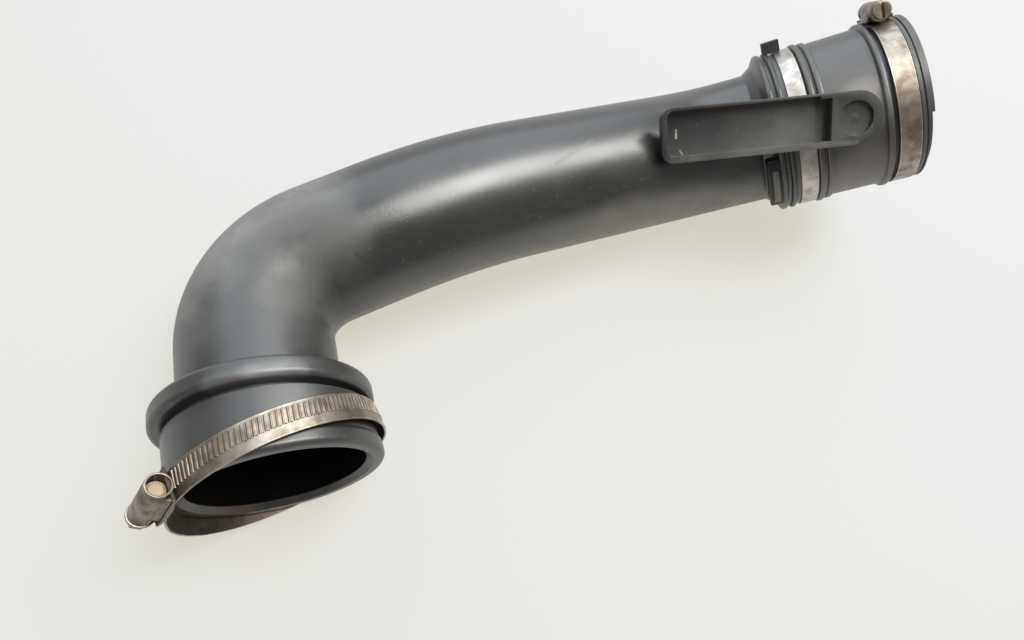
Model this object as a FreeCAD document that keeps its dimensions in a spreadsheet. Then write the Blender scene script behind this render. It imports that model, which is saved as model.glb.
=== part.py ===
import FreeCAD, Part
import Sketcher
import math
import os

V = FreeCAD.Vector

# Charge air hose: a moulded elbow and long leg with a clamped cuff at its mouth
# and a banded rubber coupling at its far end. Millimetres, +Z up, part at rest.

DRIVING = [
    ("bead_x", -159.291, "place of the bead's centre, x"),
    ("bead_y", -54.089, "place of the bead's centre, y"),
    ("bead_z", 44.42, "place of the bead's centre above the floor"),
    ("elbow_x", 2.2, "elbow corner from the bead, x"),
    ("elbow_y", 66.3, "elbow corner from the bead, y"),
    ("elbow_z", -14.9, "elbow corner from the bead, z"),
    ("leg_x", 100, "start of the long leg from the bead, x"),
    ("leg_y", 87, "start of the long leg from the bead, y"),
    ("leg_z", 0.5, "start of the long leg from the bead, z"),
    ("dip_x", 260.7, "corner before the coupling from the bead, x"),
    ("dip_y", 107.2, "corner before the coupling from the bead, y"),
    ("dip_z", -11.4, "corner before the coupling from the bead, z"),
    ("end_x", 346, "far end of the coupling from the bead, x"),
    ("end_y", 94.7, "far end of the coupling from the bead, y"),
    ("end_z", 46.6, "far end of the coupling from the bead, z"),
    ("elbow_bend", 42, "centreline radius of the elbow"),
    ("leg_bend", 307, "centreline radius where the long leg starts"),
    ("dip_bend", 80, "centreline radius before the coupling"),
    ("tube_radius", 32.5, "outside radius of the tube at the bead"),
    ("tube_radius_end", 35.2, "outside radius of the tube at the bell"),
    ("tube_wall", 4, "wall of the tube"),
    ("bead_radius", 43.6, "outside radius of the rounded bead"),
    ("bead_width", 8.8, "width of the rounded bead"),
    ("bead_shift", 2.5, "middle of the bead from its centre, away from the mouth"),
    ("bead_side", 1.0, "middle of the bead from its centre, across the tube"),
    ("bead_round", 2.4, "rounding of the bead's edges"),
    ("mouth_x", 2.51, "centre of the mouth from the bead, x"),
    ("mouth_y", -26.59, "centre of the mouth from the bead, y"),
    ("mouth_z", 2.71, "centre of the mouth from the bead, z"),
    ("mouth_turn_side", -0.46, "sideways turn of the mouth's axis, degrees"),
    ("mouth_turn_down", -9.54, "downward turn of the mouth's axis, degrees"),
    ("mouth_radius", 34.6, "bore of the mouth, radius"),
    ("mouth_depth", 19, "depth of the mouth's straight bore"),
    ("mouth_chamfer", 2.4, "lead-in at the mouth's edge"),
    ("lip_radius", 42, "outside radius of the end lip"),
    ("lip_width", 6.5, "width of the end lip"),
    ("lip_round", 2.4, "rounding of the end lip"),
    ("lip_slope", 1, "length of the slope from the end lip to the cuff"),
    ("cuff_radius", 41, "outside radius of the cuff sleeve"),
    ("neck_radius", 36.8, "outside radius of the neck under the bead"),
    ("neck_width", 2.2, "width of the neck under the bead"),
    ("loose_x", 2.86, "centre of the loose clamp from the bead, x"),
    ("loose_y", -19.885, "centre of the loose clamp from the bead, y"),
    ("loose_z", 1.65, "centre of the loose clamp from the bead, z"),
    ("loose_turn_side", -13.28, "sideways turn of the loose clamp's axis, degrees"),
    ("loose_turn_down", -10.7, "downward turn of the loose clamp's axis, degrees"),
    ("loose_turn_rise", 8.53, "rise of the loose clamp's x direction, degrees"),
    ("loose_gap", 1.1, "radial clearance of the loose clamp round the end lip"),
    ("loose_width", 11.2, "width of the loose clamp's band"),
    ("loose_turn", 218, "place of the loose clamp's housing round its band"),
    ("band_thick", 0.8, "thickness of a clamp's band"),
    ("barrel_radius", 4.8, "outside radius of a clamp's barrel"),
    ("barrel_bore", 3.7, "bore of a clamp's barrel, radius"),
    ("barrel_length", 22, "length of a clamp's barrel"),
    ("barrel_lift", 4.6, "barrel's axis above the band"),
    ("foot_length", 17, "length of a housing's foot"),
    ("foot_thick", 1.2, "thickness of a housing's foot"),
    ("cheek_thick", 1.2, "thickness of a housing's side cheeks"),
    ("bay_end", 2.5, "wall at each end of a housing's bay"),
    ("bay_side", 0.6, "bay's side inside the edge of the bore"),
    ("screw_tail", 2, "barrel left open past a screw's point"),
    ("collar_sink", 0.5, "length of a screw's shank inside its collar"),
    ("running_gap", 0.06, "radial clearance of a screw in its barrel"),
    ("end_gap", 0.35, "clearance between a screw's collar and the barrel"),
    ("seat_gap", 0.1, "clearance between nested pieces"),
    ("screw_collar_radius", 5.2, "radius of a screw's collar"),
    ("screw_collar", 1.4, "thickness of a screw's collar"),
    ("screw_head_width", 7, "width across the flats of a screw's head"),
    ("screw_head", 4, "height of a screw's head"),
    ("slot_width", 1.2, "width of a screw's slot"),
    ("slot_depth", 1.6, "depth of a screw's slot"),
    ("sleeve_radius", 41.5, "outside radius of the coupling sleeve"),
    ("sleeve_bore", 36.6, "bore of the coupling sleeve, radius"),
    ("sleeve_length", 64.4, "length of the coupling sleeve"),
    ("rim_width", 5.2, "width of the sleeve's end rim"),
    ("rim_radius", 42, "outside radius of the sleeve's end rim"),
    ("rim_groove", 0.8, "width and depth of the groove round the rim"),
    ("rim_groove_place", 2.8, "rim's groove from the sleeve's end"),
    ("band_groove", 1.6, "depth of the groove between the end clamp's band and the near ridge"),
    ("band_groove_under", 0.6, "how far that groove runs in under the band"),
    ("rim_step", 2.2, "step of the rim round its lower half"),
    ("rim_skin", 1.6, "wall left inside the rim's step"),
    ("rim_step_turn", 43, "place of the rim's step round the sleeve"),
    ("ridge_radius", 43.2, "outside radius of the sleeve's ridges"),
    ("ridge_slope", 0.6, "length of a ridge's sloping side"),
    ("ridge_round", 0.9, "rounding of a ridge"),
    ("ridge_width", 3.6, "width of a sleeve ridge"),
    ("ridge_near", 17.4, "near ridge from the sleeve's end"),
    ("ridge_far", 14.6, "far ridge from the sleeve's seat at the bell"),
    ("ridge_mid", 18.8, "middle ridge from the sleeve's seat at the bell"),
    ("crimp_start", 10.5, "crimp band from the sleeve's seat at the bell"),
    ("crimp_width", 8.2, "width of the crimp band"),
    ("crimp_thick", 0.9, "thickness of the crimp band"),
    ("end_band_start", 5.7, "end clamp's band from the sleeve's end"),
    ("end_band_width", 9.8, "width of the end clamp's band"),
    ("end_turn", 52, "place of the end clamp's housing round the sleeve"),
    ("spigot_start", 40, "tube's spigot from the sleeve's end"),
    ("spigot_radius", 37.5, "outside radius of the tube's spigot"),
    ("spigot_stop", 0.6, "shoulder in the sleeve before the spigot"),
    ("spigot_wall", 3.4, "wall of the tube's spigot"),
    ("flange_radius", 43.2, "outside radius of the bell's flanges"),
    ("flange_width", 2.6, "width of a bell flange"),
    ("flange_groove", 1.8, "groove between the bell's flanges"),
    ("flange_round", 0.9, "rounding of a bell flange"),
    ("bell_groove_radius", 41.4, "radius in the groove between the flanges"),
    ("bell_flare", 9.5, "length of the bell's flare"),
    ("flare_hollow", 2.6, "place of the flare's hollow from the flange"),
    ("flare_hip", 3.2, "height of the flare's hollow over the tube"),
    ("flare_sink", 1.5, "how far the flare runs in under the skin of the tube"),
    ("tab_turn", 47, "place of the bell's tab round the bell"),
    ("tab_length", 8.8, "length of the bell's tab"),
    ("tab_thick", 4, "thickness of the bell's tab"),
    ("tab_height", 5.5, "height of the bell's tab above the flanges"),
    ("tab_reach", 6.2, "how far the tab stands out over the crimp band"),
    ("tab_root", 0.4, "depth of the tab in its flange"),
    ("arm_station", 38, "arm's eye from the sleeve's end"),
    ("arm_turn", 32, "place of the arm's eye round the sleeve"),
    ("arm_height", 47.3, "arm's underside at the eye from the axis"),
    ("arm_tail_station", 122.8, "arm's tail from the sleeve's end"),
    ("arm_tail_turn", 18.2, "place of the arm's tail round the axis"),
    ("arm_tail_height", 67.6, "arm's underside at the tail from the axis"),
    ("arm_width", 26.5, "width of the arm"),
    ("arm_eye_width", 25, "width of the arm at its eye"),
    ("arm_thick", 7, "depth of the arm over its rim"),
    ("arm_floor", 2.2, "thickness of the arm's tray floor"),
    ("arm_rim", 2.8, "width of the arm's rim"),
    ("arm_tail_round", 5.3, "rounding of the arm's tail corners"),
    ("arm_eye_round", 11.6, "rounding of the arm's eye end"),
    ("tray_corner", 3, "corner cut of the arm's tray"),
    ("arm_overhang", 4, "length of the arm beyond its tail point"),
    ("arm_step", 17, "start of the tray floor from the eye's centre"),
    ("arm_leg", 2.6, "thickness of an arm leg"),
    ("arm_leg_length", 13, "length of an arm leg"),
    ("arm_leg_place", 51, "arm legs from the eye's centre"),
    ("eye_recess", 8.4, "recess round the arm's eye, radius"),
    ("eye_hole", 5, "hole in the arm's eye, radius"),
    ("boss_height", 8, "height of the boss under the arm's eye"),
    ("boss_wall", 2.5, "boss outside the eye's hole"),
    ("pin_head_radius", 6.8, "radius of the pin's domed head"),
    ("pin_head", 2.8, "height of the pin's domed head"),
    ("cut_past", 1, "how far a cut runs on past a face"),
    ("skim", 0.01, "depth by which a cut starts before a face"),
]

doc = FreeCAD.newDocument("charge_air_hose")
sheet = doc.addObject("Spreadsheet::Sheet", "sizes")
for row, (alias, value, note) in enumerate(DRIVING, start=1):
    sheet.set("A%d" % row, note)
    sheet.set("B%d" % row, str(value))
    sheet.setAlias("B%d" % row, alias)
doc.recompute()


def size(alias):
    return float(sheet.get(alias))


def slope(alias):
    return math.tan(math.radians(size(alias)))


def place(alias):
    return V(size(alias + "_x"), size(alias + "_y"), size(alias + "_z"))


def unit(vector):
    return vector / vector.Length


def axes(origin, along, across):
    # a placement whose z runs along and whose x is the part of across at right angles to it
    z = unit(along)
    x = unit(across - z * across.dot(z))
    return FreeCAD.Placement(origin, FreeCAD.Rotation(x, z.cross(x), z, "ZXY"))


def plane(body, role):
    return [item for item in body.Origin.OriginFeatures if item.Role == role][0]


def polygon(sketch, corners):
    # closed outline whose corners are pairs of sheet expressions
    start = [(i + 1.0, 2.0 * (i % 3) + i) for i in range(len(corners))]
    for i in range(len(corners)):
        a = start[i]
        b = start[(i + 1) % len(corners)]
        sketch.addGeometry(Part.LineSegment(V(a[0], a[1], 0), V(b[0], b[1], 0)), False)
    for i in range(len(corners)):
        j = (i + 1) % len(corners)
        sketch.addConstraint(Sketcher.Constraint("Coincident", i, 2, j, 1))
    for i, (across, up) in enumerate(corners):
        for kind, text in (("DistanceX", across), ("DistanceY", up)):
            index = sketch.addConstraint(Sketcher.Constraint(kind, -1, 1, i, 1, 1.0))
            sketch.setExpression("Constraints[%d]" % index, text)


def turned(name, corners):
    # a body turned about its own z from an outline of (radius, height) pairs
    body = doc.addObject("PartDesign::Body", name)
    sketch = body.newObject("Sketcher::SketchObject", name + "_outline")
    sketch.AttachmentSupport = [(plane(body, "XZ_Plane"), "")]
    sketch.MapMode = "FlatFace"
    polygon(sketch, corners)
    doc.recompute()
    turn = body.newObject("PartDesign::Revolution", name + "_turn")
    turn.Profile = sketch
    turn.ReferenceAxis = (sketch, ["V_Axis"])
    turn.Angle = 360
    doc.recompute()
    return body


def soften(body, name, alias, picks):
    # rounds the circular edges of a turned body that lie at the given (radius, height) pairs
    base = body.Tip
    chosen = []
    for number, edge in enumerate(base.Shape.Edges, start=1):
        if not isinstance(edge.Curve, Part.Circle):
            continue
        for radius, height in picks:
            near_radius = abs(edge.Curve.Radius - radius) < 1e-4
            if near_radius and abs(edge.Curve.Center.z - height) < 1e-4:
                chosen.append("Edge%d" % number)
    fillet = body.newObject("PartDesign::Fillet", name)
    fillet.Base = (base, chosen)
    fillet.setExpression("Radius", "sizes." + alias)
    doc.recompute()


def primitive(kind, name, frame, offset, **bound):
    # a Part primitive whose sizes are sheet expressions, set in a local frame
    item = doc.addObject("Part::" + kind, name)
    for key, text in bound.items():
        item.setExpression(key, text)
    item.Placement = frame.multiply(offset)
    return item


def shifted(x, y, z, axis=V(0, 0, 1), angle=0):
    return FreeCAD.Placement(V(x, y, z), FreeCAD.Rotation(axis, angle))


def fused(name, items):
    item = doc.addObject("Part::MultiFuse", name)
    item.Shapes = items
    return item


def cut(name, base, tool):
    item = doc.addObject("Part::Cut", name)
    item.Base = base
    item.Tool = tool
    return item


def centreline(points, bends):
    # tangent lines and arcs through the corner points
    edges = []
    start = points[0]
    for corner, radius, after in zip(points[1:-1], bends, points[2:]):
        into = unit(corner - start)
        out = unit(after - corner)
        angle = into.getAngle(out)
        reach = radius * math.tan(angle / 2)
        first = corner - into * reach
        last = corner + out * reach
        middle = corner + unit(out - into) * radius * (1 / math.cos(angle / 2) - 1)
        edges.append(Part.makeLine(start, first))
        edges.append(Part.Arc(first, middle, last).toShape())
        start = last
    edges.append(Part.makeLine(start, points[-1]))
    return Part.Wire(edges)


def swept(name, spine, begin, finish, inset):
    # the tube's outside, or its core when inset by the wall
    head = spine.Edges[0]
    tail = spine.Edges[-1]
    along = unit(head.valueAt(head.LastParameter) - head.valueAt(head.FirstParameter))
    away = unit(tail.valueAt(tail.LastParameter) - tail.valueAt(tail.FirstParameter))
    first = Part.makeCircle(size(begin) - inset, head.valueAt(head.FirstParameter), along)
    last = Part.makeCircle(size(finish) - inset, tail.valueAt(tail.LastParameter), away)
    item = doc.addObject("Part::Feature", name)
    item.Shape = spine.makePipeShell([Part.Wire([first]), Part.Wire([last])], True, False)
    return item


# Main places and frames
bead = place("bead")
elbow = bead + place("elbow")
leg = bead + place("leg")
dip = bead + place("dip")
end = bead + place("end")
mouth = bead + place("mouth")
mouth_axis = V(slope("mouth_turn_side"), 1, slope("mouth_turn_down"))
bead_frame = axes(bead, elbow - bead, V(1, 0, 0))
mouth_frame = axes(mouth, mouth_axis, V(1, 0, 0))
end_frame = axes(end, dip - end, V(0, 0, 1))

# Moulded hose: rounded bead, cuff with its lip, swept tube, bell with two flanges
bead_body = turned("bead_ring", [
    ("0", "0"),
    ("sizes.bead_radius", "0"),
    ("sizes.bead_radius", "sizes.bead_width"),
    ("0", "sizes.bead_width"),
])
soften(bead_body, "bead_rounding", "bead_round", [
    (size("bead_radius"), 0),
    (size("bead_radius"), size("bead_width")),
])
bead_body.Placement = bead_frame.multiply(shifted(size("bead_side"), 0, size("bead_shift") - size("bead_width") / 2))

cuff_length = (bead - mouth).Length
cuff_top = "%.3f + sizes.bead_width" % cuff_length
cuff_body = turned("cuff", [
    ("0", "0"),
    ("sizes.lip_radius", "0"),
    ("sizes.lip_radius", "sizes.lip_width"),
    ("sizes.cuff_radius", "sizes.lip_width + sizes.lip_slope"),
    ("sizes.cuff_radius", cuff_top),
    ("0", cuff_top),
])
soften(cuff_body, "lip_rounding", "lip_round", [
    (size("lip_radius"), 0),
    (size("lip_radius"), size("lip_width")),
])
cuff_body.Placement = mouth_frame
bead_middle = "sizes.neck_width + sizes.bead_width / 2"
cuff_trim = turned("cuff_trim", [
    ("sizes.neck_radius", "0"),
    ("2 * sizes.bead_radius", "0"),
    ("2 * sizes.bead_radius", bead_middle + " + 2 * sizes.bead_width"),
    ("0", bead_middle + " + 2 * sizes.bead_width"),
    ("0", bead_middle),
    ("sizes.neck_radius", bead_middle),
])
neck_low = size("bead_shift") - size("bead_width") / 2 - size("neck_width")
cuff_trim.Placement = bead_frame.multiply(shifted(size("bead_side"), 0, neck_low))
cuff_under_bead = cut("cuff_under_bead", cuff_body, cuff_trim)

bell_start = "sizes.sleeve_length + sizes.seat_gap"
flange_one = bell_start + " + sizes.flange_width"
groove_end = flange_one + " + sizes.flange_groove"
flange_two = groove_end + " + sizes.flange_width"
flare_end = flange_two + " + sizes.bell_flare"
bell_place = size("sleeve_length") + size("seat_gap")
flare_place = bell_place + 2 * size("flange_width") + size("flange_groove") + size("bell_flare")
spigot = "sizes.spigot_radius"
bell_body = turned("bell", [
    ("0", "sizes.spigot_start"),
    (spigot, "sizes.spigot_start"),
    (spigot, bell_start),
    ("sizes.flange_radius", bell_start),
    ("sizes.flange_radius", flange_one),
    ("sizes.bell_groove_radius", flange_one),
    ("sizes.bell_groove_radius", groove_end),
    ("sizes.flange_radius", groove_end),
    ("sizes.flange_radius", flange_two),
    ("sizes.tube_radius_end + sizes.flare_hip", flange_two + " + sizes.flare_hollow"),
    ("sizes.tube_radius_end - sizes.flare_sink", flare_end),
    ("0", flare_end),
])
first_flange = bell_place + size("flange_width")
second_flange = first_flange + size("flange_groove")
flange_edges = [bell_place, first_flange, second_flange, second_flange + size("flange_width")]
soften(bell_body, "flange_rounding", "flange_round", [(size("flange_radius"), at) for at in flange_edges])
bell_body.Placement = end_frame

spine_end = end_frame.multVec(V(0, 0, bell_place + size("flange_width")))
bends = [size("elbow_bend"), size("leg_bend"), size("dip_bend")]
spine = centreline([bead, elbow, leg, dip, spine_end], bends)
tube = swept("tube_outside", spine, "tube_radius", "tube_radius_end", 0)

tab_place = bell_place - size("tab_reach")
tab_frame = end_frame.multiply(shifted(0, 0, tab_place, V(0, 0, 1), size("tab_turn")))
tab = primitive(
    "Box", "bell_tab", tab_frame,
    shifted(size("flange_radius") - size("tab_root"), -size("tab_thick") / 2, 0),
    Length="sizes.tab_root + sizes.tab_height",
    Width="sizes.tab_thick",
    Height="sizes.tab_length",
)
hose_outside = fused("hose_outside", [tube, bead_body, cuff_under_bead, bell_body, tab])

core = swept("tube_core", spine, "tube_radius", "tube_radius_end", size("tube_wall"))
tube_bore = "sizes.tube_radius - sizes.tube_wall"
mouth_end = "%.3f" % cuff_length
cuff_core = turned("cuff_core", [
    ("0", "0"),
    ("sizes.mouth_radius + sizes.mouth_chamfer", "0"),
    ("sizes.mouth_radius", "sizes.mouth_chamfer"),
    ("sizes.mouth_radius", "sizes.mouth_depth"),
    (tube_bore, mouth_end + " + sizes.bead_width / 2"),
    ("0", mouth_end + " + sizes.bead_width / 2"),
])
cuff_core.Placement = mouth_frame.multiply(shifted(0, 0, -size("skim")))
bell_core = turned("bell_core", [
    ("0", "sizes.spigot_start - sizes.cut_past"),
    (spigot + " - sizes.spigot_wall", "sizes.spigot_start - sizes.cut_past"),
    (spigot + " - sizes.spigot_wall", bell_start),
    ("sizes.tube_radius_end - sizes.tube_wall - sizes.flare_sink", flare_end),
    ("0", flare_end),
])
bell_core.Placement = end_frame
hose_core = fused("hose_core", [core, cuff_core, bell_core])
elbow_hose = cut("elbow_hose", hose_outside, hose_core)

# Rubber coupling sleeve with a rim stepped round its lower half, two ridges and a boss
groove_start = "sizes.end_band_start + sizes.end_band_width - sizes.band_groove_under"
near_end = "sizes.ridge_near + sizes.ridge_width"
mid_start = "sizes.sleeve_length - sizes.ridge_mid"
mid_end = mid_start + " + sizes.ridge_width"
far_start = "sizes.sleeve_length - sizes.ridge_far"
far_end = far_start + " + sizes.ridge_width"
sleeve_body = turned("sleeve", [
    ("sizes.sleeve_bore", "0"),
    ("sizes.rim_radius", "0"),
    ("sizes.rim_radius", "sizes.rim_groove_place"),
    ("sizes.rim_radius - sizes.rim_groove", "sizes.rim_groove_place"),
    ("sizes.rim_radius - sizes.rim_groove", "sizes.rim_groove_place + sizes.rim_groove"),
    ("sizes.rim_radius", "sizes.rim_groove_place + sizes.rim_groove"),
    ("sizes.rim_radius", "sizes.rim_width"),
    ("sizes.sleeve_radius", "sizes.rim_width"),
    ("sizes.sleeve_radius", groove_start),
    ("sizes.sleeve_radius - sizes.band_groove", groove_start),
    ("sizes.sleeve_radius - sizes.band_groove", "sizes.ridge_near"),
    ("sizes.ridge_radius", "sizes.ridge_near + sizes.ridge_slope"),
    ("sizes.ridge_radius", near_end + " - sizes.ridge_slope"),
    ("sizes.sleeve_radius", near_end),
    ("sizes.sleeve_radius", mid_start),
    ("sizes.ridge_radius - sizes.ridge_slope", mid_start + " + sizes.ridge_slope"),
    ("sizes.ridge_radius - sizes.ridge_slope", mid_end + " - sizes.ridge_slope"),
    ("sizes.sleeve_radius", mid_end),
    ("sizes.sleeve_radius", far_start),
    ("sizes.ridge_radius", far_start + " + sizes.ridge_slope"),
    ("sizes.ridge_radius", far_end + " - sizes.ridge_slope"),
    ("sizes.sleeve_radius", far_end),
    ("sizes.sleeve_radius", "sizes.sleeve_length"),
    ("sizes.spigot_radius + sizes.seat_gap", "sizes.sleeve_length"),
    ("sizes.spigot_radius + sizes.seat_gap", "sizes.spigot_start - sizes.spigot_stop"),
    ("sizes.sleeve_bore", "sizes.spigot_start - sizes.spigot_stop"),
])
ridge_tops = []
ridge_starts = (
    (size("ridge_near"), 0),
    (size("sleeve_length") - size("ridge_mid"), size("ridge_slope")),
    (size("sleeve_length") - size("ridge_far"), 0),
)
for start, drop in ridge_starts:
    low = start + size("ridge_slope")
    high = start + size("ridge_width") - size("ridge_slope")
    ridge_tops.append((size("ridge_radius") - drop, low))
    ridge_tops.append((size("ridge_radius") - drop, high))
soften(sleeve_body, "ridge_rounding", "ridge_round", ridge_tops)
sleeve_body.Placement = end_frame
half_turn = 180
rim_cut = primitive(
    "Cylinder", "rim_cut", end_frame,
    shifted(0, 0, 0, V(0, 0, 1), -size("rim_step_turn") - half_turn),
    Radius="sizes.rim_radius * 2",
    Height="sizes.rim_step",
)
rim_cut.Angle = half_turn
rim_core = primitive(
    "Cylinder", "rim_core", end_frame, shifted(0, 0, -size("cut_past")),
    Radius="sizes.sleeve_bore + sizes.rim_skin",
    Height="sizes.rim_step + 2 * sizes.cut_past",
)
rim_notch = cut("rim_notch", rim_cut, rim_core)


def round_sleeve(height, turn, station):
    angle = math.radians(turn)
    local = V(height * math.cos(angle), height * math.sin(angle), station)
    return end_frame.multVec(local)


eye = round_sleeve(size("arm_height"), -size("arm_turn"), size("arm_station"))
arm_tail = round_sleeve(size("arm_tail_height"), -size("arm_tail_turn"), size("arm_tail_station"))
outward = eye - round_sleeve(0, 0, size("arm_station"))
arm_along = unit(arm_tail - eye)
arm_up = unit(outward - arm_along * outward.dot(arm_along))
arm_frame = axes(eye, arm_up, arm_along)
boss = primitive(
    "Cylinder", "sleeve_boss", arm_frame,
    shifted(0, 0, -size("boss_height")),
    Radius="sizes.eye_hole + sizes.boss_wall",
    Height="sizes.boss_height - sizes.seat_gap",
)
coupling_sleeve = fused("coupling_sleeve", [cut("sleeve_stepped", sleeve_body, rim_notch), boss])

# Crimp band and the end clamp's band, both turned rings on the sleeve
crimp_inside = "sizes.sleeve_radius + sizes.seat_gap / 2"
crimp_low = "sizes.sleeve_length - sizes.crimp_start"
crimp_end = crimp_low + " + sizes.crimp_width"
crimp_band = turned("crimp_band", [
    (crimp_inside, crimp_low),
    (crimp_inside + " + sizes.crimp_thick", crimp_low),
    (crimp_inside + " + sizes.crimp_thick", crimp_end),
    (crimp_inside, crimp_end),
])
crimp_band.Placement = end_frame
end_band_end = "sizes.end_band_start + sizes.end_band_width"
end_clamp_band = turned("end_clamp_band", [
    (crimp_inside, "sizes.end_band_start"),
    (crimp_inside + " + sizes.band_thick", "sizes.end_band_start"),
    (crimp_inside + " + sizes.band_thick", end_band_end),
    (crimp_inside, end_band_end),
])
end_clamp_band.Placement = end_frame

# Loose clamp's band, skewed on the cuff
loose_axis = V(slope("loose_turn_side"), 1, slope("loose_turn_down"))
loose_frame = axes(bead + place("loose"), loose_axis, V(1, 0, slope("loose_turn_rise")))
loose_inside = "sizes.lip_radius + sizes.loose_gap"
mouth_clamp_band = turned("mouth_clamp_band", [
    (loose_inside, "0"),
    (loose_inside + " + sizes.band_thick", "0"),
    (loose_inside + " + sizes.band_thick", "sizes.loose_width"),
    (loose_inside, "sizes.loose_width"),
])
mouth_clamp_band.Placement = loose_frame.multiply(shifted(0, 0, -size("loose_width") / 2))


def worm_drive(prefix, frame, band_width):
    # housing and screw of a worm clamp; x is the screw's axis toward its head, z is outward
    half = size("barrel_length") / 2
    lift = size("barrel_lift")
    width = "%s + 2 * sizes.cheek_thick" % band_width
    wide = size(band_width.split(".")[1]) + 2 * size("cheek_thick")
    along_x = V(0, 1, 0)
    foot = primitive(
        "Box", prefix + "_foot", frame,
        shifted(-size("foot_length") / 2, -wide / 2, size("seat_gap")),
        Length="sizes.foot_length", Width=width, Height="sizes.foot_thick",
    )
    saddle = primitive(
        "Box", prefix + "_saddle", frame,
        shifted(-size("foot_length") / 2, -size("barrel_radius"), size("seat_gap")),
        Length="sizes.foot_length", Width="2 * sizes.barrel_radius", Height="sizes.barrel_lift",
    )
    barrel = primitive(
        "Cylinder", prefix + "_barrel", frame, shifted(-half, 0, lift, along_x, 90),
        Radius="sizes.barrel_radius", Height="sizes.barrel_length",
    )
    bore = primitive(
        "Cylinder", prefix + "_bore", frame, shifted(-half - size("cut_past"), 0, lift, along_x, 90),
        Radius="sizes.barrel_bore", Height="sizes.barrel_length + 2 * sizes.cut_past",
    )
    bay = primitive(
        "Box", prefix + "_bay", frame,
        shifted(
            -size("foot_length") / 2 + size("bay_end"),
            -size("barrel_bore") + size("bay_side"),
            -size("cut_past"),
        ),
        Length="sizes.foot_length - 2 * sizes.bay_end",
        Width="2 * sizes.barrel_bore - 2 * sizes.bay_side",
        Height="sizes.barrel_lift + sizes.cut_past",
    )
    block = fused(prefix + "_block", [foot, saddle, barrel])
    housing = cut(prefix + "_housing", block, fused(prefix + "_hollow", [bore, bay]))

    shank = primitive(
        "Cylinder", prefix + "_shank", frame,
        shifted(-half + size("screw_tail"), 0, lift, along_x, 90),
        Radius="sizes.barrel_bore - sizes.running_gap",
        Height="sizes.barrel_length - sizes.screw_tail + sizes.end_gap + sizes.collar_sink",
    )
    collar_place = half + size("end_gap")
    collar = primitive(
        "Cylinder", prefix + "_collar", frame, shifted(collar_place, 0, lift, along_x, 90),
        Radius="sizes.screw_collar_radius", Height="sizes.screw_collar",
    )
    head = primitive(
        "Prism", prefix + "_head", frame, shifted(collar_place, 0, lift, along_x, 90),
        Circumradius="sizes.screw_head_width / sqrt(3)", Height="sizes.screw_collar + sizes.screw_head",
    )
    head.Polygon = 6
    top = collar_place + size("screw_collar") + size("screw_head")
    slot = primitive(
        "Box", prefix + "_slot", frame,
        shifted(top - size("slot_depth"), -size("slot_width") / 2, lift - size("screw_collar_radius")),
        Length="sizes.slot_depth + sizes.cut_past", Width="sizes.slot_width",
        Height="2 * sizes.screw_collar_radius",
    )
    screw = cut(prefix + "_screw", fused(prefix + "_turned", [shank, collar, head]), slot)
    return housing, screw


def drive_frame(hoop_frame, radius, turn, station):
    # frame on a hoop's outside whose x points to the screw's head and z points outward
    angle = math.radians(turn)
    normal = V(math.cos(angle), math.sin(angle), 0)
    tangent = V(math.sin(angle), -math.cos(angle), 0)
    spot = hoop_frame.multVec(normal * radius + V(0, 0, station))
    turn_only = hoop_frame.Rotation
    return axes(spot, turn_only.multVec(normal), turn_only.multVec(tangent))


loose_outside = size("lip_radius") + size("loose_gap") + size("band_thick")
mouth_drive = drive_frame(loose_frame, loose_outside, size("loose_turn"), 0)
mouth_housing, mouth_screw = worm_drive("mouth_clamp", mouth_drive, "sizes.loose_width")

end_outside = size("sleeve_radius") + size("seat_gap") / 2 + size("band_thick")
end_middle = size("end_band_start") + size("end_band_width") / 2
end_drive = drive_frame(end_frame, end_outside, size("end_turn"), end_middle)
end_housing, end_screw = worm_drive("end_clamp", end_drive, "sizes.end_band_width")

# Retaining arm: a dished strap with an eye, on two legs that stand on the tube
arm_body = doc.addObject("PartDesign::Body", "arm_strap")
arm_reach = (arm_tail - eye).Length
arm_total = "%.3f + sizes.arm_overhang + sizes.arm_eye_width / 2" % arm_reach
eye_low = "(sizes.arm_width - sizes.arm_eye_width) / 2"
eye_high = "(sizes.arm_width + sizes.arm_eye_width) / 2"
strap_sketch = arm_body.newObject("Sketcher::SketchObject", "strap_outline")
strap_sketch.AttachmentSupport = [(plane(arm_body, "XY_Plane"), "")]
strap_sketch.MapMode = "FlatFace"
polygon(strap_sketch, [
    ("0", eye_low),
    (arm_total, "0"),
    (arm_total, "sizes.arm_width"),
    ("0", eye_high),
])
doc.recompute()
strap_pad = arm_body.newObject("PartDesign::Pad", "strap_pad")
strap_pad.Profile = strap_sketch
strap_pad.setExpression("Length", "sizes.arm_thick")
doc.recompute()


def upright_edges(shape, low, high):
    # names of the edges along z whose x lies between low and high
    names = []
    for number, edge in enumerate(shape.Edges, start=1):
        first, last = edge.Vertexes[0].Point, edge.Vertexes[-1].Point
        upright = abs(first.x - last.x) < 1e-5 and abs(first.y - last.y) < 1e-5
        if upright and low <= first.x <= high:
            names.append("Edge%d" % number)
    return names


tail_round = arm_body.newObject("PartDesign::Fillet", "tail_rounding")
tail_round.Base = (strap_pad, upright_edges(strap_pad.Shape, arm_reach / 2, 2 * arm_reach))
tail_round.setExpression("Radius", "sizes.arm_tail_round")
doc.recompute()
eye_round = arm_body.newObject("PartDesign::Fillet", "eye_rounding")
eye_round.Base = (tail_round, upright_edges(tail_round.Shape, -arm_reach, size("arm_rim")))
eye_round.setExpression("Radius", "sizes.arm_eye_round")
doc.recompute()

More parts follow.
